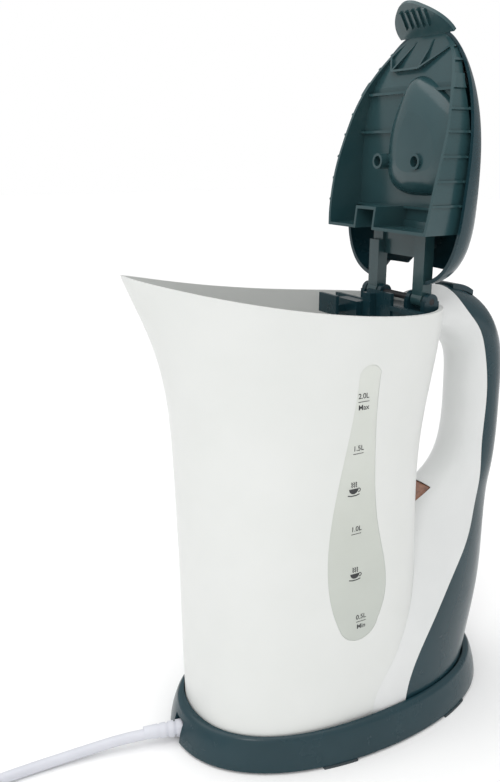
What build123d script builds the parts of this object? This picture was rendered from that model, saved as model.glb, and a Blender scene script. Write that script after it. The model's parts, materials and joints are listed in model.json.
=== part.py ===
from build123d import *
from functools import lru_cache
import math
import os

# Electric jug kettle on a corded oval base, lid standing open. Millimetres, +Z up,
# spout towards -X, handle towards +X, origin on the table under the middle of the kettle.

# ---- driving dimensions -------------------------------------------------------------
HALF_LENGTH = 122.2          # spout tip and back of the handle, either side of the origin
BASE_X = 3.0                 # middle of the oval base
BASE_A, BASE_B = 104.5, 62.5  # half axes of the base at the table
BASE_N = 2.14                # superellipse power of the base outline
FOOT_H = 1.5                 # rubber feet under the base
BASE_TOP = 20.2              # rim of the base
DECK_Z = 13.6                # top of the deck that the jug stands on
BASE_WALL = 2.2
LIP_X, LIP_A, LIP_B, LIP_N = 2.0, 93.9, 54.4, 2.37

JUG_Z = DECK_Z + 0.3         # underside of the jug
WALL = 2.3                   # jug and handle wall
FLOOR_Z = 27.0               # top of the water chamber's floor
RIM_TIP_Z = 269.0            # rim height at the spout tip
RIM_MID = (-38.0, 251.0)
RIM_REAR = (62.0, 243.6)

HINGE_X, HINGE_Z = 42.5, 247.0
LID_SWING = 88.0             # degrees from standing open to closed
LID_GAP = 0.6                # between the lid and the jug's rim
LID_MAX_U = 71.0             # widest place of the lid, measured from the hinge
LID_B = 49.7
LID_FRONT, LID_REAR = 75.0, 64.0
SKIRT_INSET = 5.2
# free edge of the skirt: (height over the hinge axis, distance from it) along the lid
SKIRT_EDGE = ((-22.0, 10.0), (-19.8, 38.0), (-14.2, 71.0), (-9.5, 87.0), (-5.2, 102.0),
              (0.9, 117.0), (7.3, 129.6), (16.0, 150.0))
TAB_V, TAB_U, TAB_LEAN = 11.5, 138.0, 47.0   # root of the spout flap and its slope
BOSSES, BOSS_U = (-15.5, 15.5), 73.0         # screw bosses under the lid
EARS = ((-28.5, -25.2), (-14.3, -11.3), (11.3, 14.3), (25.2, 28.5))
SKIRT_START = 37.0           # the skirt's rear end, measured from the hinge
PANEL_V = 3.0                # the liner's panel, above the hinge axis when closed
PIN_R = 1.8
RUN = 0.06                   # radial running clearance

ROCKER_X, ROCKER_Z = 72.0, 112.0
CORD_D = 6.0
EXIT = (-97.5, 2.7, 7.5)     # where the cord passes the wall of the base
EXIT_TURN = 16.0             # degrees that the cord leaves towards +Y
COIL_R = 33.0                # middle of the coil's turns
COIL_X, COIL_Y = -236.0, -19.5
PLUG_Y, PLUG_Z = -72.0, 12.0  # where the cord enters the plug

Y_AXIS = Vector(0, 1, 0)


# ---- outlines -----------------------------------------------------------------------
def power(value, exponent):
    return math.copysign(abs(value) ** exponent, value)


def oval_points(x_mid, front, rear, half, n_front, n_rear, count=28):
    """Closed outline, widest at x_mid, with its own length and power each way."""
    points = []
    for i in range(count):
        t = 2 * math.pi * (i + 0.5) / count
        c = math.cos(t)
        length, n = (rear, n_rear) if c > 0 else (front, n_front)
        points.append((x_mid + length * power(c, 2 / n), half * power(math.sin(t), 2 / n)))
    return points


def oval_face(z, x_mid, front, rear, half, n_front=2.3, n_rear=2.3):
    points = oval_points(x_mid, front, rear, half, n_front, n_rear)
    edge = Spline(*[(x, y, z) for x, y in points], periodic=True)
    return make_face(Wire([edge]))


def base_face(z, inset=0.0):
    return oval_face(z, BASE_X, BASE_A - inset, BASE_A - inset, BASE_B - inset, BASE_N, BASE_N)


def lip_face(z, inset=0.0):
    return oval_face(z, LIP_X, LIP_A - inset, LIP_A - inset, LIP_B - inset, LIP_N, LIP_N)


def rim_line(lift=0.0):
    """Side view of the jug's rim: a shallow arc that rises to the spout."""
    start = (-HALF_LENGTH, 0, RIM_TIP_Z + lift)
    middle = (RIM_MID[0], 0, RIM_MID[1] + lift)
    end = (RIM_REAR[0], 0, RIM_REAR[1] + lift)
    return ThreePointArc(start, middle, end)


def above_rim(lift=0.0):
    """Everything above the rim line, over the whole width."""
    arc = rim_line(lift)
    far = RIM_REAR[0] + 30
    outline = Wire([
        arc,
        Line(arc @ 1, (far, 0, RIM_REAR[1] + lift)),
        Line((far, 0, RIM_REAR[1] + lift), (far, 0, 420)),
        Line((far, 0, 420), (-HALF_LENGTH - 30, 0, 420)),
        Line((-HALF_LENGTH - 30, 0, 420), (-HALF_LENGTH - 30, 0, RIM_TIP_Z + lift)),
        Line((-HALF_LENGTH - 30, 0, RIM_TIP_Z + lift), arc @ 0),
    ])
    return extrude(make_face(outline), 90, dir=Y_AXIS, both=True)


def box(x0, x1, y0, y1, z0, z1):
    return Pos((x0 + x1) / 2, (y0 + y1) / 2, (z0 + z1) / 2) * Box(x1 - x0, y1 - y0, z1 - z0)


def rod(x, y, z0, z1, radius):
    return Pos(x, y, (z0 + z1) / 2) * Cylinder(radius, z1 - z0)


def cross_rod(x, z, y0, y1, radius):
    return Pos(x, (y0 + y1) / 2, z) * Rot(90, 0, 0) * Cylinder(radius, y1 - y0)


def long_rod(x0, x1, y, z, radius):
    return Pos((x0 + x1) / 2, y, z) * Rot(0, 90, 0) * Cylinder(radius, x1 - x0)


# ---- jug and handle -----------------------------------------------------------------
# height, widest x, front x, rear x, half width, power in front
VESSEL = [
    (JUG_Z, 0.0, -91.2, 47.0, 52.4, 2.37),
    (45.0, -6.0, -91.8, 47.0, 52.2, 2.35),
    (90.0, -12.0, -92.6, 46.5, 51.9, 2.3),
    (140.0, -18.0, -94.2, 45.5, 51.5, 2.25),
    (180.0, -18.0, -96.6, 48.0, 51.0, 2.15),
    (212.0, -14.0, -101.0, 54.5, 50.4, 2.1),
    (240.0, -9.0, -109.8, 58.5, 49.8, 2.05),
    (276.0, -5.0, -124.4, 60.5, 49.5, 2.0),
]
# height, widest x, front x, rear x, half width, power at the back
FOOT = [
    (JUG_Z, 4.0, -40.0, 92.6, 53.5, 2.37),
    (30.0, 5.0, -40.0, 99.4, 53.0, 2.2),
    (60.0, 14.0, -30.0, 111.5, 47.6, 2.0),
    (90.0, 38.0, 0.0, 117.0, 34.0, 2.0),
    (112.0, 72.0, 40.0, 119.8, 22.0, 2.0),
    (134.0, 98.5, 77.0, 121.3, 18.0, 2.0),
    (160.0, 104.6, 87.0, HALF_LENGTH, 17.2, 2.0),
    (186.0, 104.6, 87.4, 121.8, 17.2, 2.0),
]
# upper grip: centre x, centre z, tilt of the section from level, half depth, half width
GRIP = [
    (102.5, 208.0, 20.0, 17.2, 17.2),
    (92.5, 225.5, 52.0, 16.6, 17.6),
    (75.0, 235.0, 82.0, 15.4, 18.6),
    (46.0, 237.0, 90.0, 13.5, 19.5),
]


@lru_cache(maxsize=None)
def vessel(inset=0.0, bottom=None):
    """Water jug without its handle; the cached solid is never changed in place."""
    faces = []
    for z, x_mid, front, rear, half, n in VESSEL:
        faces.append(oval_face(z, x_mid, x_mid - front - inset, rear - x_mid - inset,
                               half - inset, n, 2.4))
    solid = loft(faces)
    if bottom is not None:
        solid -= box(-200, 200, -90, 90, JUG_Z - 5, bottom)
    return solid


@lru_cache(maxsize=None)
def handle(inset=0.0):
    """Foot and grip in one sweep of sections, from the base up and over."""
    faces = []
    for z, x_mid, front, rear, half, n in FOOT:
        faces.append(oval_face(z, x_mid, x_mid - front - inset, rear - x_mid - inset,
                               half - inset, 2.0, n))
    for x, z, tilt, deep, half in GRIP:
        flat = oval_face(0, 0, deep - inset, deep - inset, half - inset, 2.0, 2.0)
        faces.append(Pos(x, 0, z) * Rot(0, -tilt, 0) * flat)
    return loft(faces)


@lru_cache(maxsize=None)
def behind_seam():
    """Space behind the joint line between the white handle and its dark rear cover."""
    line = Spline((20, 0, 5), (24, 0, 34), (45, 0, 60), (68, 0, 80), (90, 0, 99), (98.5, 0, 118),
                  (100.5, 0, 150), (101.5, 0, 178), (98.5, 0, 206), (90, 0, 226), (78, 0, 239),
                  (74, 0, 262))
    outline = Wire([
        line,
        Line((74, 0, 262), (160, 0, 262)),
        Line((160, 0, 262), (160, 0, 5)),
        Line((160, 0, 5), (20, 0, 5)),
    ])
    return extrude(make_face(outline), 80, dir=Y_AXIS, both=True)



def chamber():
    """Water space of the jug, open at the top."""
    return vessel(WALL, FLOOR_Z)


HEAD_Z = 48.0                # axis of the element's round head
HEAD_HOLE_R = 17.0
HEAD_FACE_X = 40.0           # flat face inside the jug that the head's gasket sits on
BOSS_R = 23.0
CAVITY_FLOOR = JUG_Z + 2.2


def window_prism(inset=0.0):
    """Slim S-shaped outline of the water window, pushed through the -Y wall."""
    left = Spline((-20 + inset, 220), (-27 + inset, 182), (-35 + inset, 142), (-35 + inset, 102),
                  (-27 + inset, 77 + inset))
    right = Spline((-3 - inset, 80 + inset), (2 - inset, 96), (-5 - inset, 135),
                   (-9 - inset, 175), (-7 - inset, 220))
    low = ThreePointArc(left @ 1, (-15, 70 + inset), right @ 0)
    high = ThreePointArc(right @ 1, (-13.5, 224 - inset), left @ 0)
    outline = Plane.XZ * make_face(Wire([left, low, right, high]))
    return Pos(0, -30, 0) * extrude(outline, 60)


def handle_walls():
    """Hollow handle with its floor, before it is split at the seam."""
    floor = handle() & box(-100, 200, -90, 90, JUG_Z - 1, CAVITY_FLOOR)
    return handle() - handle(WALL) + floor


def jug_body():
    """White jug with its chamber, water window opening and element hole."""
    jug = vessel() - above_rim()
    jug -= chamber() - long_rod(HEAD_FACE_X, 60, 0, HEAD_Z, BOSS_R)
    jug -= bottom_recess()
    jug -= window_prism()
    jug -= long_rod(30, 60, 0, HEAD_Z, HEAD_HOLE_R)
    jug -= steam_port(6.2)
    return largest(jug)


def handle_shell():
    """White front half of the hollow handle, welded to the jug."""
    shell = handle_walls() - behind_seam() - vessel(-0.03) - bottom_recess_room()
    shell -= rocker_slot()
    shell -= button_well()
    return largest(shell)


def largest(shape):
    solids = sorted(shape.solids(), key=lambda s: s.volume)
    return solids[-1]


def water_window():
    wall = vessel(0.1) - vessel(WALL - 0.3)
    pane = wall & window_prism(0.08)
    return largest(pane)


def bottom_recess():
    """Space under the chamber's floor for the bottom cover, connector and screws."""
    inner = oval_face(JUG_Z - 1, LIP_X, LIP_A - 5.5, LIP_A - 5.5, LIP_B - 3.8, LIP_N, LIP_N)
    room = extrude(inner, FLOOR_Z - 2.4 - JUG_Z + 1, dir=(0, 0, 1))
    for x, y in BOTTOM_SCREWS:
        room -= rod(x, y, JUG_Z + 2.3, FLOOR_Z, 4.0)
    for x, y in BOTTOM_SCREWS:
        room += rod(x, y, JUG_Z + 1, JUG_Z + 9.5, 1.55)
    return room


BOTTOM_SCREWS = [(-62.0, 0.0), (18.0, 36.0), (18.0, -36.0)]
COVER_SCREWS = [(112.0, 150.0), (100.0, 36.0)]


def bottom_cover():
    outline = oval_face(JUG_Z, LIP_X, LIP_A - 5.9, LIP_A - 5.9, LIP_B - 4.2, LIP_N, LIP_N)
    plate = extrude(outline, 2.2, dir=(0, 0, 1))
    plate -= rod(INLET_X, 0, JUG_Z - 1, JUG_Z + 4, INLET_R + 0.3)
    for x, y in BOTTOM_SCREWS:
        plate -= rod(x, y, JUG_Z - 1, JUG_Z + 4, 1.7)
        plate -= rod(x, y, JUG_Z - 1, JUG_Z + 1.5, 3.5)
    return plate


def screw(x, y, z, length, head_r=3.2, shank_r=1.5):
    """Pan-head screw driven from below, with a hex socket."""
    head = rod(x, y, z, z + 1.4, head_r)
    socket = Pos(x, y, z - 0.1) * extrude(RegularPolygon(1.4, 6), 1.0)
    return head + rod(x, y, z + 1.4, z + length, shank_r) - socket


def bottom_screws():
    return Compound([screw(x, y, JUG_Z + 0.1, 9.0) for x, y in BOTTOM_SCREWS])


# ---- handle cover, its screws, steam path --------------------------------------------
def handle_cover():
    shell = (handle_walls() & behind_seam()) - vessel(-0.05) - bottom_recess_room()
    for x, z in COVER_SCREWS:
        shell += long_rod(x - 8, x + 6, 0, z, 4.0) & handle(0.5)
        shell -= long_rod(x - 9, x + 2, 0, z, 1.45)
        shell -= long_rod(x - 12, x - 8, 0, z, 3.2)
    shell -= button_well()
    shell -= rocker_slot()
    return largest(shell)


def bottom_recess_room():
    outline = oval_face(JUG_Z - 1, LIP_X, LIP_A - 5.5, LIP_A - 5.5, LIP_B - 3.8, LIP_N, LIP_N)
    return extrude(outline, 3.4, dir=(0, 0, 1))


def cover_screws():
    group = []
    for x, z in COVER_SCREWS:
        head = long_rod(x - 11, x - 8.1, 0, z, 3.0)
        group.append(head + long_rod(x - 8.5, x + 1.5, 0, z, 1.35))
    return Compound(group)


STEAM_Z = 231.0


def steam_port(radius):
    return long_rod(48, 66, 0, STEAM_Z, radius)


def steam_path():
    return FilletPolyline((52, 0, STEAM_Z), (84, 0, STEAM_Z - 4), (96, 0, 200), (96.5, 0, 140),
                          (95.5, 0, 96), (86, 0, 72), radius=[18, 22, 30, 40])


def steam_tube():
    path = steam_path()
    start = Plane(origin=path @ 0, z_dir=path % 0)
    tube = sweep(start * Circle(4.4), path=path)
    return tube - sweep(start * Circle(3.0), path=path)


def steam_duct():
    """White moulded duct that stands at the back of the water space, under the bracket."""
    outer = box(20.5, 33, 10.5, 27, 212, 231.8)
    outer = fillet(outer.edges().filter_by(Axis.Z), 2.0)
    inner = box(22.3, 31.2, 12.3, 25.2, 211, 240)
    foot = box(33, 52, 13, 23, 216, 222)
    return (outer - inner + foot) & vessel(WALL + 0.05)


# ---- element, control and connector --------------------------------------------------
INLET_X, INLET_R = 66.0, 15.0
ELEMENT_Z = 38.0
TUBE_R = 3.4


def element_flange():
    disc = long_rod(HEAD_FACE_X - 3.6, HEAD_FACE_X - 1.6, 0, HEAD_Z, 20.5)
    neck = long_rod(HEAD_FACE_X - 1.6, HEAD_FACE_X + 9, 0, HEAD_Z, 15.5)
    neck -= long_rod(HEAD_FACE_X + 1, HEAD_FACE_X + 10, 0, HEAD_Z, 13.5)
    studs = [long_rod(HEAD_FACE_X + 0.5, HEAD_FACE_X + 13, y, HEAD_Z, 2.0) for y in (-9, 9)]
    return disc + neck + studs[0] + studs[1]


def element_gasket():
    ring = long_rod(HEAD_FACE_X - 1.6, HEAD_FACE_X, 0, HEAD_Z, 20.5)
    ring += long_rod(HEAD_FACE_X, HEAD_FACE_X + 5, 0, HEAD_Z, HEAD_HOLE_R - 0.1)
    return ring - long_rod(HEAD_FACE_X - 2, HEAD_FACE_X + 6, 0, HEAD_Z, 15.6)


def heating_element():
    front = HEAD_FACE_X - 3.6
    path = FilletPolyline((front, -8, ELEMENT_Z), (8, -8, ELEMENT_Z), (-8, -34, ELEMENT_Z),
                          (-58, -30, ELEMENT_Z), (-70, 0, ELEMENT_Z), (-58, 30, ELEMENT_Z),
                          (-8, 34, ELEMENT_Z), (8, 8, ELEMENT_Z), (front, 8, ELEMENT_Z),
                          radius=[14, 14, 18, 18, 18, 14, 14])
    start = Plane(origin=path @ 0, z_dir=path % 0)
    return sweep(start * Circle(TUBE_R), path=path)


def control_unit():
    block = box(53.2, 82, -17, 17, 27, 66)
    block = fillet(block.edges().filter_by(Axis.X), 3.0)
    block -= long_rod(50, 54.6, 0, HEAD_Z, 16.0)
    block -= long_rod(80.8, 83, 0, 52, 7.0)
    return block


def bimetal_disc():
    disc = long_rod(80.9, 81.5, 0, 52, 6.6)
    return disc - box(80, 83, -1.0, 1.0, 52, 60)


def jug_inlet():
    body = rod(INLET_X, 0, JUG_Z + 0.2, 26.9, INLET_R)
    body -= rod(INLET_X, 0, JUG_Z - 1, 24.5, INLET_R - 2.0)
    pins = [rod(INLET_X, y, 17.5, 25, 1.5) for y in (-6.0, 6.0)]
    earth = rod(INLET_X + 6.5, 0, 17.0, 25, 1.8)
    return body + pins[0] + pins[1] + earth


def pilot_lamp():
    glass = long_rod(79, 88, 0, 96.5, 2.6)
    return fillet(glass.edges().group_by(Axis.X)[0], 1.5)


def control_leads():
    """Two wires from the control up to the switch and its lamp."""
    group = []
    for y in (-9.0, 9.0):
        path = FilletPolyline((70, y, 66), (70, y, 82), (80, y * 0.6, 92.5), radius=[5])
        start = Plane(origin=path @ 0, z_dir=path % 0)
        group.append(sweep(start * Circle(1.1), path=path))
    return Compound(group)


# ---- switch --------------------------------------------------------------------------
def rocker_slot():
    """Opening in the bottom of the finger gap that the rocker comes through."""
    slot = Pos(ROCKER_X - 5.5, 0, ROCKER_Z + 5.0) * Rot(0, 45, 0) * Box(26, 16.4, 16.4)
    return slot


def switch_rocker():
    outline = make_hull([
        Pos(ROCKER_X, ROCKER_Z) * Circle(4.0).edge(),
        Pos(ROCKER_X - 13.5, ROCKER_Z + 4.0) * Circle(2.0).edge(),
        Pos(ROCKER_X - 3.0, ROCKER_Z + 11.5) * Circle(2.0).edge(),
    ])
    solid = extrude(Plane.XZ * outline, 7.4, both=True)
    solid = fillet(solid.edges().group_by(Axis.Y)[0] + solid.edges().group_by(Axis.Y)[-1], 1.6)
    return solid - cross_rod(ROCKER_X, ROCKER_Z, -9, 9, PIN_R + RUN)


def rocker_pin():
    return cross_rod(ROCKER_X, ROCKER_Z, -10.5, 10.5, PIN_R)


# ---- hinge bracket, pin and lid button ------------------------------------------------
ARM_IN, ARM_OUT = 15.5, 24.0
BRACKET_TOP = 250.0


def hinge_bracket():
    """Dark insert at the back of the opening: deck, front wall, duct hood and hinge ears."""
    arm_top = HINGE_Z - 3.8
    bracket = box(28.5, 57, -60, 60, 238.5, 240.5)
    bracket += box(28.5, 30.5, -60, 60, 232, 243.6)
    bracket += box(28.5, 30.5, -30, 30, 240, arm_top)
    bracket += box(28.5, 30.5, -11, 11, 240, BRACKET_TOP)
    hood = box(20.5, 30.5, 9.5, 28, 232, arm_top) - box(22.5, 28.5, 11.5, 26, 230, arm_top - 1.8)
    bracket += hood + box(24.5, 30.5, 2.5, 9.5, 232, BRACKET_TOP - 1.5)
    bracket += box(27.5, 28.5, -42, -9, 232, 243.6) - box(27, 29, -39, -12, 234.5, 241)
    bracket &= vessel(WALL + 0.25)
    for y0, y1 in EARS:
        bracket += box(37.5, 47.5, y0, y1, 240, HINGE_Z)
        bracket += cross_rod(HINGE_X, HINGE_Z, y0, y1, 4.2)
    bracket += arm_plate()
    return bracket - cross_rod(HINGE_X, HINGE_Z, -40, 40, PIN_R)


def arm_plate():
    """Small upright plate in front of the block, on a short arm."""
    plate = box(8, 10, 12, 29, 236, 247)
    return plate + box(9, 21.5, 20, 22.5, 236, 240)


def hinge_pin():
    return cross_rod(HINGE_X, HINGE_Z, EARS[0][0] + 0.1, EARS[-1][1] - 0.1, PIN_R)


def button_well():
    return box(76, 93.2, -8.3, 8.3, 236, 262)


def lid_release_button():
    top = Spline((76.5, 251.5), (84, 250.5), (92.5, 246.5))
    low = Spline((92.5, 243.8), (84, 247.2), (76.5, 248.2))
    outline = make_face(Wire([top, Line(top @ 1, low @ 0), low, Line(low @ 1, top @ 0)]))
    cap = extrude(Plane.XZ * outline, 7.9, both=True)
    stem = box(80, 87, -5, 5, 238, 248)
    return cap + stem


# ---- lid (drawn standing open: u is up from the hinge, v is towards +X) -----------------
def lid_outline_points(inset, count=36):
    return oval_points(0, LID_FRONT - inset, LID_REAR - inset, LID_B - inset, 2.0, 3.5, count)


def lid_face(v, inset):
    """Lid outline at height v over the hinge axis, front of the lid upwards."""
    points = [(HINGE_X + v, y, HINGE_Z + LID_MAX_U - u) for u, y in lid_outline_points(inset)]
    return make_face(Wire([Spline(*points, periodic=True)]))


def lid_swing(shape, angle):
    """Turn about the hinge axis; positive closes the lid."""
    return Pos(HINGE_X, 0, HINGE_Z) * Rot(0, -angle, 0) * Pos(-HINGE_X, 0, -HINGE_Z) * shape


def dome(inset=0.0):
    low, high = -26.0, 21.5 - inset
    levels = [(low, 0.0), (2.0, 0.3), (9.0, 2.8), (15.0, 8.5), (19.5 - inset, 19.0)]
    faces = [lid_face(v, d + inset) for v, d in levels]
    faces.append(lid_face(high, 34.0 + inset))
    return loft(faces)


def over_rim_open(lift):
    """Space above the rim line, carried round with the lid to where it stands open."""
    return lid_swing(above_rim(lift), -LID_SWING)


def tab():
    """Flap at the lid's front, leaning down into the spout when the lid is shut."""
    half = [(21.0, 0.0), (20.0, 6.0), (17.0, 11.0), (12.5, 15.5), (7.0, 19.5)]
    right = Spline(*[(y, w) for y, w in half])
    left = Spline(*[(-y, w) for y, w in reversed(half)])
    tip = ThreePointArc(half[-1], (0, 21.5), (-half[-1][0], half[-1][1]))
    back = Line((-half[0][0], 0), (half[0][0], 0))
    plate = extrude(make_face(Wire([right, tip, left, back])), 1.8)
    for i in range(5):
        plate += Pos(-9 + 4.5 * i, 11.5, 2.2) * Rot(0, 0, -18) * Box(1.3, 11, 1.6)
    return tab_plane() * plate


def tab_plane():
    lean = math.radians(TAB_LEAN)
    return Plane(origin=(HINGE_X + TAB_V, 0, HINGE_Z + TAB_U), x_dir=(0, -1, 0),
                 z_dir=(-math.cos(lean), 0, -math.sin(lean)))


def lid_cover():
    shell = (dome() - dome(2.0)) & over_rim_open(LID_GAP)
    shell -= box(20, 80, -ARM_OUT - 0.6, ARM_OUT + 0.6, 240, HINGE_Z + 16)
    shell -= long_rod(20, 80, 0, HINGE_Z + 12, 11)
    return largest(shell)


def skirt_edge_side():
    """Everything on the lid's side of the skirt's free edge, deep at the rear, shallow in front."""
    edge = Spline(*[(HINGE_X + v, 0, HINGE_Z + u) for v, u in SKIRT_EDGE])
    top = (HINGE_X + 40, 0, HINGE_Z + SKIRT_EDGE[-1][1])
    low = (HINGE_X + 40, 0, HINGE_Z + SKIRT_EDGE[0][1])
    outline = Wire([edge, Line(edge @ 1, top), Line(top, low), Line(low, edge @ 0)])
    return extrude(make_face(outline), 60, dir=Y_AXIS, both=True)


def panel_slab(low, high):
    """Slab that follows the panel, from low to high over its underside; its front rises."""
    line = [(PANEL_V, 10.0), (PANEL_V, 112.0), (PANEL_V + 9.0, 142.0), (PANEL_V + 9.0, 160.0)]
    points = [(HINGE_X + v + low, 0, HINGE_Z + u) for v, u in line]
    points += [(HINGE_X + v + high, 0, HINGE_Z + u) for v, u in reversed(line)]
    return extrude(make_face(Polyline(*points, close=True)), 60, dir=Y_AXIS, both=True)


def skirt_column(inset):
    return extrude(lid_face(-26, SKIRT_INSET + inset), 46, dir=(1, 0, 0))


def lid_liner():
    column = skirt_column(0.0)
    inside = skirt_column(1.8)
    edge_side = skirt_edge_side()
    upper = panel_slab(-60, 1.8)
    liner = (column - inside) + rear_wall(column) + outside_ribs(column)
    liner = liner & edge_side & upper
    liner -= box(0, 100, -70, 70, HINGE_Z - 40, HINGE_Z + SKIRT_START)
    panel = column & panel_slab(0, 1.8)
    panel -= box(0, 100, -70, 70, HINGE_Z - 40, HINGE_Z + SKIRT_START)
    liner += panel + (lid_ribs() & inside & edge_side) + (pocket() & inside)
    liner &= dome(2.15)
    liner += lid_arms() + tab()
    for y in BOSSES:
        liner += long_rod(HINGE_X - 7, HINGE_X + PANEL_V + 0.5, y, HINGE_Z + BOSS_U, 4.2)
    for y in BOSSES:
        liner -= long_rod(HINGE_X - 9, HINGE_X + 1.0, y, HINGE_Z + BOSS_U, 2.8)
        liner -= long_rod(HINGE_X - 9, HINGE_X + 8.0, y, HINGE_Z + BOSS_U, 1.35)
    return largest(liner)


def rear_wall(column):
    """Wall across the rear of the skirt, stepped forward beside the far arm."""
    low, step = HINGE_Z + SKIRT_START, HINGE_Z + SKIRT_START + 10.6
    x0, x1 = HINGE_X - 25, HINGE_X + PANEL_V + 0.5
    wall = box(x0, x1, -50, 1.6, low, low + 1.6) + box(x0, x1, 16.4, 50, low, low + 1.6)
    wall += box(x0, x1, 0, 18, step, step + 1.6)
    wall += box(x0, x1, 0, 1.6, low, step + 1.0) + box(x0, x1, 16.4, 18, low, step + 1.0)
    return wall & column


def outside_ribs(column):
    """Short ribs between the skirt and the rim of the cover, one of them a wide block."""
    wide = skirt_column(-2.4) & over_rim_open(LID_GAP)
    gap = wide + skirt_column(-0.9) - column
    ribs = None
    for u in (51.0, 63.0, 75.0, 87.0, 98.0, 122.0, 129.0):
        rib = box(HINGE_X - 26, HINGE_X + 20, -60, 60, HINGE_Z + u, HINGE_Z + u + 1.2)
        ribs = rib if ribs is None else ribs + rib
    ribs += box(HINGE_X - 26, HINGE_X + 20, -60, 60, HINGE_Z + 108.5, HINGE_Z + 115.5)
    return ribs & gap


def lid_ribs():
    """Cross ribs and the fan of thin ribs at the front of the panel."""
    ribs = None
    for u in (48.0, 88.0, 108.0):
        rib = box(HINGE_X + PANEL_V - 2.6, HINGE_X + PANEL_V + 0.5, -48, 48,
                  HINGE_Z + u, HINGE_Z + u + 1.4)
        ribs = rib if ribs is None else ribs + rib
    corners = [((26, 131), (19, 120.5)), ((19, 120.5), (-3, 120.5)), ((-3, 120.5), (-22, 130)),
               ((19, 120.5), (3, 139)), ((-3, 120.5), (-8, 139))]
    for (y0, u0), (y1, u1) in corners:
        length = math.hypot(y1 - y0, u1 - u0)
        angle = math.degrees(math.atan2(u1 - u0, y1 - y0))
        place = Pos(HINGE_X + PANEL_V + 4.5, (y0 + y1) / 2, HINGE_Z + (u0 + u1) / 2)
        ribs += place * Rot(angle, 0, 0) * Box(14.0, length, 1.2)
    return ribs


def pocket_outline(v, shrink):
    points = [(2.0, 113.0), (9.5, 101.0), (14.3, 88.0), (15.6, 73.0), (13.5, 62.0), (5.0, 56.5),
              (-9.0, 55.0), (-26.0, 56.0), (-38.0, 60.0), (-43.0, 74.0), (-40.0, 92.0), (-26.0, 107.0)]
    mid_y, mid_u = -13.0, 80.0
    ring = [(HINGE_X + v, mid_y + (y - mid_y) * shrink, HINGE_Z + mid_u + (u - mid_u) * shrink)
            for y, u in points]
    return make_face(Wire([Spline(*ring, periodic=True)]))


def pocket():
    """Rounded pocket that stands out of the panel on the near side, pointed at the front."""
    levels = [(PANEL_V + 1.0, 1.0), (PANEL_V - 3.0, 0.94), (PANEL_V - 6.5, 0.78), (PANEL_V - 8.6, 0.5)]
    return loft([pocket_outline(v, share) for v, share in levels])


def lid_arms():
    arms = None
    for side in (-1, 1):
        low, high = sorted((side * ARM_IN, side * ARM_OUT))
        arm = box(HINGE_X - 3.2, HINGE_X + 3.3, low, high, HINGE_Z, HINGE_Z + 42)
        arm += cross_rod(HINGE_X, HINGE_Z, low, high, 4.2)
        arm -= cross_rod(HINGE_X, HINGE_Z, low - 1, high + 1, PIN_R + RUN)
        arms = arm if arms is None else arms + arm
    arms -= box(HINGE_X - 5, HINGE_X - 0.5, 11, 30, HINGE_Z + 29.5, HINGE_Z + 37.0)
    web = box(HINGE_X + 1.3, HINGE_X + 3.3, -ARM_IN - 0.5, ARM_IN + 0.5, HINGE_Z + 22, HINGE_Z + 42)
    return arms + web


def lid_screws():
    group = []
    for y in BOSSES:
        head = long_rod(HINGE_X - 1.2, HINGE_X + 1.0, y, HINGE_Z + BOSS_U, 2.5)
        slot_z = HINGE_Z + BOSS_U
        head -= box(HINGE_X - 2, HINGE_X - 0.4, y - 1.8, y + 1.8, slot_z - 0.4, slot_z + 0.4)
        group.append(head + long_rod(HINGE_X + 0.9, HINGE_X + 8.0, y, slot_z, 1.35))
    return Compound(group)


# ---- power base ------------------------------------------------------------------------
def base_shell():
    outside = loft([base_face(FOOT_H), base_face(FOOT_H + 9, 1.6), base_face(BASE_TOP, 5.0)])
    top_edges = outside.edges().group_by(Axis.Z)[-1]
    outside = fillet(top_edges, 3.6)
    inside = loft([base_face(FOOT_H - 1, BASE_WALL), base_face(DECK_Z - 2.2, BASE_WALL + 2.8)])
    well = extrude(lip_face(DECK_Z), 20, dir=(0, 0, 1))
    shell = outside - inside - well
    shell -= rod(INLET_X, 0, 0, 30, INLET_R - 2.6)
    return shell - cord_way(5.2, 14.5)


def base_bottom_plate():
    outline = base_face(FOOT_H + 0.1, BASE_WALL + 1.3)
    plate = extrude(outline, 1.8, dir=(0, 0, 1))
    for x, y in BASE_SCREWS:
        plate -= rod(x, y, 0, 6, 3.5)
    return plate - cord_way(5.6, 6)


BASE_SCREWS = [(-62.0, 28.0), (-62.0, -28.0), (68.0, 34.0), (68.0, -34.0)]
FOOT_ANGLES = [-112.0, -52.0, 112.0, 52.0]


def base_feet():
    """Pads under the edge of the base, just proud of its wall."""
    ring = extrude(base_face(0.0, -0.6), FOOT_H, dir=(0, 0, 1))
    ring -= extrude(base_face(-1.0, 7.0), 5, dir=(0, 0, 1))
    pads = []
    for angle in FOOT_ANGLES:
        x = BASE_X + 88 * math.cos(math.radians(angle))
        y = 60 * math.sin(math.radians(angle))
        pads.append(largest(ring & (Pos(x, y, 0) * Box(20, 22, 10))))
    return Compound(pads)


def base_screws():
    return Compound([screw(x, y, FOOT_H + 0.2, 8.0) for x, y in BASE_SCREWS])


def base_connector():
    tower = rod(INLET_X, 0, FOOT_H + 2, 21.5, INLET_R - 3.2)
    tower = fillet(tower.edges().group_by(Axis.Z)[-1], 1.5)
    tower += rod(INLET_X, 0, FOOT_H + 2, DECK_Z - 2.4, INLET_R + 2)
    for y in (-6.0, 6.0):
        tower -= rod(INLET_X, y, 8, 30, 2.4)
    tower -= rod(INLET_X + 6.5, 0, 8, 30, 2.4)
    return tower


def connector_contacts():
    group = []
    for x, y, r in ((INLET_X, -6.0, 1.5), (INLET_X, 6.0, 1.5), (INLET_X + 6.5, 0.0, 1.8)):
        clip = rod(x, y, 8.1, 20.5, 2.3) - rod(x, y, 9.5, 22, r + 0.15)
        group.append(clip)
    return Compound(group)


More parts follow.
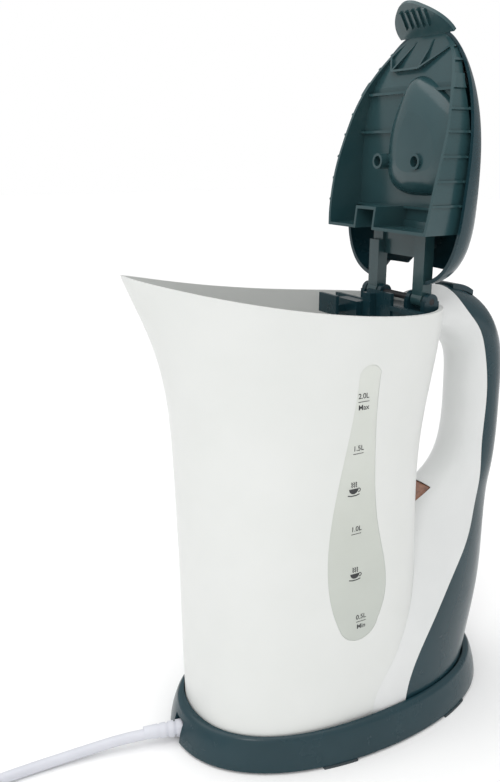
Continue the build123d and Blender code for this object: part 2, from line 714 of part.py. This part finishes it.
def base_leads():
    """Three wires from the clamp to the connector, under the deck."""
    group = []
    inner = EXIT_FRAME * Pos(16, 0, 0)
    x, y, z = inner.position
    for side in (-1, 0, 1):
        path = FilletPolyline((x, y + 2.4 * side, z), (-40, 2.4 * side - 1, 6.6),
                              (10, 4 * side, 6.6), (INLET_X - INLET_R - 2.2, 4 * side, 6.6),
                              radius=[40, 60])
        group.append(tube_along(path, 1.1))
    return Compound(group)


def tube_along(path, radius):
    start = Plane(origin=path @ 0, z_dir=path % 0)
    return sweep(start * Circle(radius), path=path)


EXIT_FRAME = Pos(*EXIT) * Rot(0, 0, -EXIT_TURN)


def cord_way(half, top):
    """Slot in the front wall of the base, from the table up."""
    return Pos(EXIT[0], EXIT[1], 0) * Rot(0, 0, -EXIT_TURN) * box(-20, 9, -half, half, -1, top)


def cord_clamp():
    clamp = box(8.5, 14, -9, 9, 3.6 - EXIT[2], 11.2 - EXIT[2])
    return EXIT_FRAME * clamp - cord_tube(CORD_ROUTE)


def strain_relief():
    """Tapered sleeve that guides the cord out of the base."""
    cone = Pos(-11, 0, 0) * Rot(0, -90, 0) * Cone(4.9, 3.5, 22)
    collar = long_rod(0, 7.5, 0, 0, 5.6) & box(-1, 8, -4.9, 4.9, 3.6 - EXIT[2], 3.7)
    sleeve = cone + collar
    for i in range(4):
        sleeve -= long_rod(-5 - 4.5 * i, -3.6 - 4.5 * i, 0, 0, 6) - long_rod(-30, 0, 0, 0, 3.7)
    return EXIT_FRAME * sleeve - cord_tube(CORD_ROUTE)


# ---- cord, coil and plug -----------------------------------------------------------------
# out of the base, down to the table and on to the coil
CORD_ROUTE = ((-84.0, -1.2, 7.5), (-122.0, 9.7, 7.5), (-156.0, 15.6, 3.9), (-189.0, 17.8, 3.0),
              (-214.0, 16.6, 3.0), (-238.5, 15.2, 3.0))
# off the coil, up into the neck of the plug
TAIL_ROUTE = ((-269.0, -26.5, 9.0), (-269.0, -38.0, 9.3), (-269.0, -50.0, 10.2),
              (-269.0, -60.0, 12.0), (-269.0, -73.0, 12.0))


def bend_radii(route):
    """Largest tangent arcs that the runs leave room for."""
    radii = []
    for before, here, after in zip(route, route[1:], route[2:]):
        run_in = Vector(*here) - Vector(*before)
        run_out = Vector(*after) - Vector(*here)
        turn = math.radians(run_in.get_angle(run_out))
        shorter = min(run_in.length, run_out.length)
        radii.append(0.45 * shorter / math.tan(turn / 2))
    return radii


@lru_cache(maxsize=None)
def cord_tube(route):
    radii = bend_radii(route)
    path = FilletPolyline(*route, radius=radii)
    tube = tube_along(path, CORD_D / 2)
    section = math.pi * (CORD_D / 2) ** 2
    print("cord radii", [round(r) for r in radii], "length", round(path.length, 1),
          "volume ratio", round(tube.volume / (section * path.length), 4))
    return tube


def cord_coil():
    """Outer shape of the wound cord: two turns side by side and one on top."""
    ring = rod(COIL_X, COIL_Y, 0.05, 11.3, COIL_R + CORD_D)
    ring -= rod(COIL_X, COIL_Y, -1, 13, COIL_R - CORD_D)
    return fillet(ring.edges(), 2.5)


def plug_frame():
    return Plane(origin=(TAIL_ROUTE[-1][0], PLUG_Y, PLUG_Z), x_dir=(1, 0, 0), z_dir=(0, -1, 0))


def plug_body():
    """Straight two-pin plug lying on its flat side, tapered towards the cord."""
    frame = plug_frame()
    sections = [(0, 5.2, 5.2), (14, 7.5, 7.0), (26, 15.0, 10.5), (34, 18.0, 12.0), (50, 18.6, 12.0)]
    faces = [frame * Pos(0, 0, w) * Ellipse(a, b) for w, a, b in sections]
    body = loft([faces[0], faces[1], faces[2], faces[3]]) + loft([faces[3], faces[4]])
    neck_hole = frame * Pos(0, 0, 0) * Cylinder(CORD_D / 2, 2.4)
    for x in (-PIN_SPACING / 2, PIN_SPACING / 2):
        body -= frame * Pos(x, 0, 46) * Cylinder(2.4, 12)
    return body - neck_hole


PIN_SPACING = 19.0


def plug_pins():
    frame = plug_frame()
    group = []
    for x in (-PIN_SPACING / 2, PIN_SPACING / 2):
        pin = frame * Pos(x, 0, 54.5) * Cylinder(2.4, 29)
        group.append(fillet(pin.edges().group_by(Axis.Y)[0], 1.6))
    return Compound(group)


NODES = {
    "base_shell": base_shell,
    "base_bottom_plate": base_bottom_plate,
    "base_feet": base_feet,
    "base_screws": base_screws,
    "base_connector": base_connector,
    "connector_contacts": connector_contacts,
    "base_leads": base_leads,
    "cord_clamp": cord_clamp,
    "strain_relief": strain_relief,
    "power_cord": lambda: cord_tube(CORD_ROUTE),
    "cord_coil": cord_coil,
    "plug_lead": lambda: cord_tube(TAIL_ROUTE),
    "plug_body": plug_body,
    "plug_pins": plug_pins,
    "jug_body": jug_body,
    "handle_shell": handle_shell,
    "water_window": water_window,
    "handle_cover": handle_cover,
    "cover_screws": cover_screws,
    "bottom_cover": bottom_cover,
    "bottom_screws": bottom_screws,
    "element_flange": element_flange,
    "element_gasket": element_gasket,
    "heating_element": heating_element,
    "control_unit": control_unit,
    "bimetal_disc": bimetal_disc,
    "jug_inlet": jug_inlet,
    "control_leads": control_leads,
    "pilot_lamp": pilot_lamp,
    "steam_tube": steam_tube,
    "steam_duct": steam_duct,
    "hinge_bracket": hinge_bracket,
    "hinge_pin": hinge_pin,
    "rocker_pin": rocker_pin,
    "switch_rocker": switch_rocker,
    "lid_release_button": lid_release_button,
    "lid_cover": lid_cover,
    "lid_liner": lid_liner,
    "lid_screws": lid_screws,
}

os.makedirs("parts", exist_ok=True)
for name, build in NODES.items():
    export_step(build(), f"parts/{name}.step")
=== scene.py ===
"""Electric jug kettle standing open on its corded base, in a pale studio."""

import json
import math

import bpy
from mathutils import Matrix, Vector
from mathutils.bvhtree import BVHTree


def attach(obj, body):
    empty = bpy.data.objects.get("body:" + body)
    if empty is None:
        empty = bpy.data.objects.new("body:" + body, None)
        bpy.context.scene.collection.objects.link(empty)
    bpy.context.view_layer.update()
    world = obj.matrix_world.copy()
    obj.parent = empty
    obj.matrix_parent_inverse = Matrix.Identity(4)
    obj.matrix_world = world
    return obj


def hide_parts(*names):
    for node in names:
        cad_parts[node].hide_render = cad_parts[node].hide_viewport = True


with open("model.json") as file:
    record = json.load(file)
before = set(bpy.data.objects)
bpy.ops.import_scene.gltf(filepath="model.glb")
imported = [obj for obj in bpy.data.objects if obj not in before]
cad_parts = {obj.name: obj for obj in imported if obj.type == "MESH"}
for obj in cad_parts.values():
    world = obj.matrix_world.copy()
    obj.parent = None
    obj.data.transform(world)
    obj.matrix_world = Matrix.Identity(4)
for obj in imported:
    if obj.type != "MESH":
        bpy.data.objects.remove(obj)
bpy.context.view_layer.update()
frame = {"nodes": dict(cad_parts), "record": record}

MM = 0.001
scene = bpy.context.scene
nodes = frame["nodes"]


# ---- camera --------------------------------------------------------------------------
LENS, SENSOR = 37.57, 36.0
EYE = (-0.25662, -0.36181, 0.32537)      # metres
LOOK_DOWN, LOOK_RIGHT = 16.389, 29.223   # degrees


def make_camera():
    data = bpy.data.cameras.new("camera")
    data.lens = LENS
    data.sensor_width = SENSOR
    data.clip_start = 0.01
    camera = bpy.data.objects.new("camera", data)
    camera.location = EYE
    camera.rotation_euler = (math.radians(90 - LOOK_DOWN), 0.0, math.radians(-LOOK_RIGHT))
    scene.collection.objects.link(camera)
    scene.camera = camera


make_camera()


# ---- flex: one line from the base, through its coil, to the plug -------------------------
FLEX_D = 6.0 * MM
EXIT = (-84.0, -1.2, 7.5)
ROUTE = [EXIT, (-122.0, 9.7, 7.5), (-156.0, 15.6, 3.9), (-189.0, 17.8, 3.0),
         (-214.0, 17.2, 3.0), (-231.0, 17.0, 3.0)]
TAIL = [(-269.0, -26.5, 9.2), (-269.0, -38.0, 9.4), (-269.0, -50.0, 10.2), (-269.0, -60.0, 12.0),
        (-269.0, -73.0, 12.0)]
COIL = (-236.0, -19.5)
TURN_POINTS = 16
EASE_POINTS = 5                                    # the end of a turn eases into the next
TURNS = ((36.0, 3.0), (30.0, 3.0), (33.0, 8.2))   # radius and height of each turn
PULL_IN = math.cos(math.pi / TURN_POINTS)          # how far the line cuts inside its points


def coil_points():
    """Points of the turns, anticlockwise from the far side, easing between turns."""
    points = []
    last = len(TURNS) - 1
    for i in range(1, TURN_POINTS * len(TURNS) + TURN_POINTS // 4):
        turn, step = divmod(i, TURN_POINTS)
        radius, height = TURNS[min(turn, last)]
        if turn < last and step > TURN_POINTS - EASE_POINTS:
            share = (step - TURN_POINTS + EASE_POINTS) / EASE_POINTS
            share = share * share * (3 - 2 * share)
            radius += share * (TURNS[turn + 1][0] - radius)
            height += share * (TURNS[turn + 1][1] - height)
        angle = math.pi / 2 + 2 * math.pi * i / TURN_POINTS
        reach = radius / PULL_IN
        points.append((COIL[0] + reach * math.cos(angle), COIL[1] + reach * math.sin(angle), height))
    return points


def make_flex():
    data = bpy.data.curves.new("flex", "CURVE")
    data.dimensions = "3D"
    data.bevel_depth = 1.0          # times each point's own radius
    data.bevel_resolution = 6
    data.resolution_u = 10
    data.use_fill_caps = True
    route = ROUTE + coil_points() + TAIL
    spline = data.splines.new("NURBS")
    spline.points.add(len(route) - 1)
    for point, (x, y, z) in zip(spline.points, route):
        point.co = (x * MM, y * MM, z * MM, 1.0)
        point.radius = FLEX_D / 2
    spline.order_u = 3
    spline.use_endpoint_u = True
    flex = bpy.data.objects.new("flex", data)
    scene.collection.objects.link(flex)
    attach(flex, "base")
    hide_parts("power_cord", "cord_coil", "plug_lead")
    return flex


flex = make_flex()


# ---- materials -------------------------------------------------------------------------
def node(tree, kind, **values):
    made = tree.nodes.new(kind)
    for key, value in values.items():
        if hasattr(made, key):
            setattr(made, key, value)
        else:
            made.inputs[key.replace("_", " ")].default_value = value
    return made


def noise(tree, where, scale, detail=3.0):
    made = node(tree, "ShaderNodeTexNoise", Scale=scale, Detail=detail, Roughness=0.55)
    tree.links.new(where, made.inputs["Vector"])
    return made.outputs["Fac"]


def ramp(tree, value, *stops):
    made = tree.nodes.new("ShaderNodeValToRGB")
    points = made.color_ramp.elements
    while len(points) < len(stops):
        points.new(0.5)
    for point, (place, colour) in zip(points, stops):
        point.position = place
        point.color = (*colour, 1.0)
    tree.links.new(value, made.inputs["Fac"])
    return made.outputs["Color"]


def spread(tree, value, low, high, start=0.3, end=0.7):
    made = node(tree, "ShaderNodeMapRange")
    for key, number in (("From Min", start), ("From Max", end), ("To Min", low), ("To Max", high)):
        made.inputs[key].default_value = number
    tree.links.new(value, made.inputs["Value"])
    return made.outputs["Result"]


def bump(tree, height, shader, depth):
    made = node(tree, "ShaderNodeBump", Strength=1.0, Distance=depth)
    tree.links.new(height, made.inputs["Height"])
    tree.links.new(made.outputs["Normal"], shader.inputs["Normal"])


def new_material(name, **sockets):
    material = bpy.data.materials.new(name)
    material.use_nodes = True
    tree = material.node_tree
    shader = tree.nodes["Principled BSDF"]
    for key, value in sockets.items():
        shader.inputs[key.replace("_", " ")].default_value = value
    place = tree.nodes.new("ShaderNodeTexCoord").outputs["Object"]
    return material, tree, shader, place


def moulded(name, dark, light, rough=(0.3, 0.4), grain=900.0, depth=0.00002, patch=22.0, **sockets):
    """Moulded plastic or rubber: faint colour patches, uneven gloss and a fine surface grain."""
    material, tree, shader, place = new_material(name, **sockets)
    colour = ramp(tree, noise(tree, place, patch), (0.3, dark), (0.7, light))
    tree.links.new(colour, shader.inputs["Base Color"])
    tree.links.new(spread(tree, noise(tree, place, patch * 3, 4.0), *rough), shader.inputs["Roughness"])
    bump(tree, noise(tree, place, grain, 2.0), shader, depth)
    return material


def metal(name, colour, rough=(0.25, 0.4), scale=(1.0, 1.0, 1.0), grain=700.0, depth=0.00001):
    """Metal with fine drawn or turned lines along one direction."""
    material, tree, shader, place = new_material(name, Metallic=1.0)
    stretched = node(tree, "ShaderNodeMapping", Scale=scale)
    tree.links.new(place, stretched.inputs["Vector"])
    lines = noise(tree, stretched.outputs["Vector"], grain, 4.0)
    dull = tuple(0.86 * v for v in colour)
    tree.links.new(ramp(tree, lines, (0.3, dull), (0.7, colour)), shader.inputs["Base Color"])
    tree.links.new(spread(tree, lines, *rough), shader.inputs["Roughness"])
    bump(tree, lines, shader, depth)
    return material


def window_material():
    """Frosted strip, greyer towards the floor of the jug as painted shade."""
    material, tree, shader, place = new_material("window", Subsurface_Weight=0.15, IOR=1.45)
    shader.inputs["Subsurface Radius"].default_value = (0.004, 0.004, 0.0035)
    shader.inputs["Subsurface Scale"].default_value = 1.0
    split = tree.nodes.new("ShaderNodeSeparateXYZ")
    tree.links.new(place, split.inputs["Vector"])
    # Painted shade: the colour greys from the top of the window down towards the floor of the jug.
    height = spread(tree, split.outputs["Z"], 0.0, 1.0, 0.06, 0.23)
    colour = ramp(tree, height, (0.0, (0.50, 0.53, 0.49)), (0.45, (0.55, 0.575, 0.53)),
                  (1.0, (0.66, 0.68, 0.64)))
    cloud = ramp(tree, noise(tree, place, 35.0), (0.3, (0.955, 0.955, 0.955)), (0.7, (1, 1, 1)))
    mixed = node(tree, "ShaderNodeMix", data_type="RGBA", blend_type="MULTIPLY")
    mixed.inputs["Factor"].default_value = 1.0
    tree.links.new(colour, mixed.inputs["A"])
    tree.links.new(cloud, mixed.inputs["B"])
    tree.links.new(mixed.outputs["Result"], shader.inputs["Base Color"])
    tree.links.new(spread(tree, noise(tree, place, 500.0), 0.42, 0.55), shader.inputs["Roughness"])
    bump(tree, noise(tree, place, 1500.0, 2.0), shader, 0.00003)
    return material


def rocker_material():
    """Copper brown rocker with a fine embossed grain."""
    material, tree, shader, place = new_material("amber", Specular_IOR_Level=0.6, Coat_Weight=0.3)
    colour = ramp(tree, noise(tree, place, 160.0, 5.0), (0.3, (0.10, 0.035, 0.018)),
                  (0.55, (0.24, 0.095, 0.05)), (0.8, (0.42, 0.2, 0.11)))
    tree.links.new(colour, shader.inputs["Base Color"])
    tree.links.new(spread(tree, noise(tree, place, 90.0), 0.22, 0.4), shader.inputs["Roughness"])
    bump(tree, noise(tree, place, 700.0, 2.0), shader, 0.0001)
    return material


WHITE = moulded("milky_white", (0.675, 0.69, 0.67), (0.7, 0.712, 0.695), rough=(0.3, 0.38),
                Specular_IOR_Level=0.4)
# The handle's white is a little greyer than the jug's: painted shade on the handle's side.
SHADED_HANDLE_WHITE = moulded("handle_white_painted_shade", (0.655, 0.67, 0.665), (0.69, 0.7, 0.695), rough=(0.32, 0.4),
                 Specular_IOR_Level=0.4)
TEAL = moulded("dark_teal", (0.007, 0.03, 0.039), (0.011, 0.038, 0.049), rough=(0.2, 0.3),
               Specular_IOR_Level=0.36)
LINER = moulded("lid_teal", (0.018, 0.054, 0.062), (0.028, 0.068, 0.074), rough=(0.16, 0.26),
                Specular_IOR_Level=0.5)
BLACK = moulded("black_nylon", (0.012, 0.012, 0.014), (0.025, 0.025, 0.027), rough=(0.5, 0.65))
RUBBER = moulded("foot_rubber", (0.02, 0.03, 0.036), (0.035, 0.048, 0.055), rough=(0.65, 0.8),
                 grain=1500.0, depth=0.00006)
SEAL = moulded("silicone", (0.45, 0.43, 0.4), (0.58, 0.56, 0.52), rough=(0.5, 0.65))
SHEATH = moulded("pale_pvc", (0.56, 0.57, 0.62), (0.63, 0.64, 0.69), rough=(0.4, 0.5),
                 grain=1300.0, depth=0.00003)
INSULATION = moulded("wire_pvc", (0.2, 0.1, 0.05), (0.3, 0.16, 0.08), rough=(0.4, 0.5))
INK = moulded("scale_ink", (0.018, 0.02, 0.022), (0.03, 0.032, 0.034), rough=(0.45, 0.55), patch=300.0)
LAMP = moulded("lamp_lens", (0.75, 0.2, 0.06), (0.9, 0.32, 0.12), rough=(0.12, 0.2),
               Transmission_Weight=0.6)
STEEL = metal("zinc_steel", (0.6, 0.6, 0.61))
STAINLESS = metal("stainless", (0.66, 0.65, 0.63), scale=(1.0, 1.0, 6.0))
NICKEL = metal("nickel", (0.78, 0.75, 0.7), rough=(0.12, 0.22))
BRASS = metal("brass", (0.72, 0.5, 0.2))
WINDOW = window_material()
AMBER = rocker_material()

BY_SLOT = {"dark_plastic": TEAL, "white_plastic": WHITE, "window_plastic": WINDOW,
           "black_plastic": BLACK, "amber_plastic": AMBER, "foot_rubber": RUBBER,
           "seal_rubber": SEAL, "cord_sheath": SHEATH, "wire_insulation": INSULATION,
           "screw_steel": STEEL, "element_steel": STAINLESS, "pin_nickel": NICKEL,
           "contact_brass": BRASS, "lamp_glass": LAMP}


def dress_nodes():
    for part in frame["record"]["subparts"]:
        cad = nodes[part["node"]]
        cad.data.materials.clear()
        cad.data.materials.append(BY_SLOT[part["material_slot"]])
    # The handle shell takes the greyer white, which is painted shade.
    nodes["handle_shell"].data.materials[0] = SHADED_HANDLE_WHITE
    nodes["lid_liner"].data.materials[0] = LINER
    nodes["hinge_pin"].data.materials[0] = BLACK
    flex.data.materials.append(SHEATH)


dress_nodes()


# ---- printed scale on the window -----------------------------------------------------------
# Each mark: words, x and z of its middle in millimetres. Underlines: x, z and half length.
WORDS = (("2.0L", -17.5, 207.3), ("Max", -17.4, 201.4), ("1.5L", -19.9, 180.2),
         ("1.0L", -19.7, 135.8), ("0.5L", -14.6, 83.0), ("Min", -14.3, 77.2))
UNDERLINES = ((-17.4, 205.6, 3.3), (-19.9, 178.6, 3.1), (-19.7, 134.2, 3.1), (-14.5, 81.4, 3.1))
CUPS = ((-21.6, 158.2), (-19.1, 109.5))
WORD_H = 2.7 * MM
CAPITALS = 0.7             # height of a capital, as a share of the font's size
WORD_WEIGHT = 0.025 * MM
LINE_W = 0.35
INK_OUT, INK_IN = 0.09 * MM, -0.04 * MM   # front and back of the ink, out of the surface


def surface_of(*names):
    points, faces = [], []
    for name in names:
        mesh = nodes[name].data
        faces += [[len(points) + i for i in p.vertices] for p in mesh.polygons]
        points += [v.co for v in mesh.vertices]
    return BVHTree.FromPolygons(points, faces)


def text_mesh(words, height):
    data = bpy.data.curves.new("words", "FONT")
    data.body = words
    data.size = height / CAPITALS
    data.align_x = "CENTER"
    data.extrude = 0.5
    data.offset = WORD_WEIGHT
    return data


def outline_mesh(loops):
    data = bpy.data.curves.new("outline", "CURVE")
    data.dimensions = "2D"
    data.fill_mode = "BOTH"
    data.extrude = 0.5
    for loop in loops:
        spline = data.splines.new("POLY")
        spline.points.add(len(loop) - 1)
        for point, (x, y) in zip(spline.points, loop):
            point.co = (x * MM, y * MM, 0.0, 1.0)
        spline.use_cyclic_u = True
    return data


def ring(x, y, half_x, half_y, start=0.0, end=2 * math.pi, count=24):
    angles = [start + (end - start) * i / count for i in range(count + 1)]
    return [(x + half_x * math.cos(a), y + half_y * math.sin(a)) for a in angles]


def band(points, width):
    """Closed outline of a line of even width."""
    left, right = [], []
    for i, (x, y) in enumerate(points):
        x0, y0 = points[max(i - 1, 0)]
        x1, y1 = points[min(i + 1, len(points) - 1)]
        long = math.hypot(x1 - x0, y1 - y0)
        nx, ny = -(y1 - y0) / long, (x1 - x0) / long
        left.append((x + nx * width / 2, y + ny * width / 2))
        right.append((x - nx * width / 2, y - ny * width / 2))
    return left + right[::-1]


def cup_outlines():
    """A small steaming cup on its saucer, as separate closed outlines."""
    cup = ring(-0.5, 1.6, 2.9, 2.8, math.pi, 2 * math.pi, 16)
    handle = band(ring(2.4, 0.6, 1.2, 0.95, -1.7, 1.7, 12), 0.45)
    saucer = band([(-4.1, -1.7), (-2.0, -2.2), (1.0, -2.2), (3.1, -1.7)], 0.55)
    steam = [band([(x + 0.45 * math.sin(2.2 * k), 2.4 + 0.36 * k) for k in range(9)], 0.45)
             for x in (-1.7, -0.4, 0.9)]
    return [cup, handle, saucer, *steam]


def lay_on(surface, data, x_mid, z_mid):
    """The flat artwork as a thin closed skin on the surface in front of (x_mid, z_mid)."""
    flat = bpy.data.objects.new("flat", data)
    scene.collection.objects.link(flat)
    bpy.context.view_layer.update()
    mesh = bpy.data.meshes.new_from_object(flat)
    bpy.data.objects.remove(flat)
    points = []
    for vertex in mesh.vertices:
        x, z = x_mid + vertex.co.x, z_mid + vertex.co.y
        hit = surface.ray_cast(Vector((x, -0.2, z)), Vector((0, 1, 0)))[0]
        out = INK_OUT if vertex.co.z > 0 else INK_IN
        points.append((x, hit.y - out, z))
    return points, [tuple(p.vertices) for p in mesh.polygons]


def make_scale():
    surface = surface_of("water_window", "jug_body")
    art = [(text_mesh(words, WORD_H), x, z) for words, x, z in WORDS]
    for x, z, half in UNDERLINES:
        art.append((outline_mesh([band([(-half, 0), (half, 0)], LINE_W)]), x, z))
    for x, z in CUPS:
        art += [(outline_mesh([loop]), x, z) for loop in cup_outlines()]
    points, faces = [], []
    for data, x, z in art:
        more, polygons = lay_on(surface, data, x * MM, z * MM)
        faces += [tuple(len(points) + i for i in polygon) for polygon in polygons]
        points += more
    mesh = bpy.data.meshes.new("scale_print")
    mesh.from_pydata(points, [], faces)
    mesh.materials.append(INK)
    scale = bpy.data.objects.new("scale_print", mesh)
    scene.collection.objects.link(scale)
    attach(scale, "jug")


make_scale()


# ---- studio --------------------------------------------------------------------------------
SKY_FROM = (-0.55, -0.45, 0.7)           # where the light is strongest
SKY_RANGE = (-0.8, 0.8, 0.3, 1.0)        # facing away, facing it, strength at each
SUN_STRENGTH, SUN_WIDTH = 1.1, 70
SUN_TILT = (-6, -8)                      # degrees
GLINT_AT, GLINT_TO = (-0.75, -0.75, 0.95), (0.04, 0.0, 0.32)
GLINT_SIZE, GLINT_POWER = (0.25, 0.45), 2.2


def make_floor():
    mesh = bpy.data.meshes.new("floor")
    mesh.from_pydata([(-4, -4, 0), (4, -4, 0), (4, 6, 0), (-4, 6, 0)], [], [(0, 1, 2, 3)])
    material, tree, shader, place = new_material("floor_paper", Roughness=0.75,
                                                 Specular_IOR_Level=0.15)
    paper = ramp(tree, noise(tree, place, 3.0), (0.3, (0.9, 0.9, 0.9)), (0.7, (0.93, 0.93, 0.93)))
    tree.links.new(paper, shader.inputs["Base Color"])
    mesh.materials.append(material)
    floor = bpy.data.objects.new("floor", mesh)
    scene.collection.objects.link(floor)


def area_light(name, place, target, size, power):
    data = bpy.data.lights.new(name, "AREA")
    data.shape = "RECTANGLE"
    data.size, data.size_y = size
    data.energy = power
    lamp = bpy.data.objects.new(name, data)
    lamp.location = place
    lamp.rotation_euler = (Vector(target) - Vector(place)).to_track_quat("-Z", "Y").to_euler()
    scene.collection.objects.link(lamp)


def make_world():
    """White to look at; as light, bright from above and the left and dimmer from the far right."""
    world = bpy.data.worlds.new("studio")
    world.use_nodes = True
    tree = world.node_tree
    back = tree.nodes["Background"]
    toward = tree.nodes.new("ShaderNodeVectorMath")
    toward.operation = "DOT_PRODUCT"
    toward.inputs[1].default_value = Vector(SKY_FROM).normalized()
    coords = tree.nodes.new("ShaderNodeTexCoord")
    tree.links.new(coords.outputs["Generated"], toward.inputs[0])
    away, facing, dim, bright = SKY_RANGE
    light = spread(tree, toward.outputs["Value"], dim, bright, away, facing)
    seen = tree.nodes.new("ShaderNodeLightPath")
    pick = node(tree, "ShaderNodeMix", data_type="FLOAT")
    tree.links.new(seen.outputs["Is Camera Ray"], pick.inputs["Factor"])
    tree.links.new(light, pick.inputs["A"])
    pick.inputs["B"].default_value = 1.0
    tree.links.new(pick.outputs["Result"], back.inputs["Strength"])
    back.inputs["Color"].default_value = (1.0, 1.0, 1.0, 1.0)
    scene.world = world


def make_studio():
    make_floor()
    make_world()
    sun = bpy.data.lights.new("top_sun", "SUN")
    sun.energy = SUN_STRENGTH
    sun.angle = math.radians(SUN_WIDTH)
    lamp = bpy.data.objects.new("top_sun", sun)
    lamp.rotation_euler = (math.radians(SUN_TILT[0]), math.radians(SUN_TILT[1]), 0.0)
    scene.collection.objects.link(lamp)
    area_light("pocket_glint", GLINT_AT, GLINT_TO, GLINT_SIZE, GLINT_POWER)
    scene.view_settings.view_transform = "Standard"


make_studio()
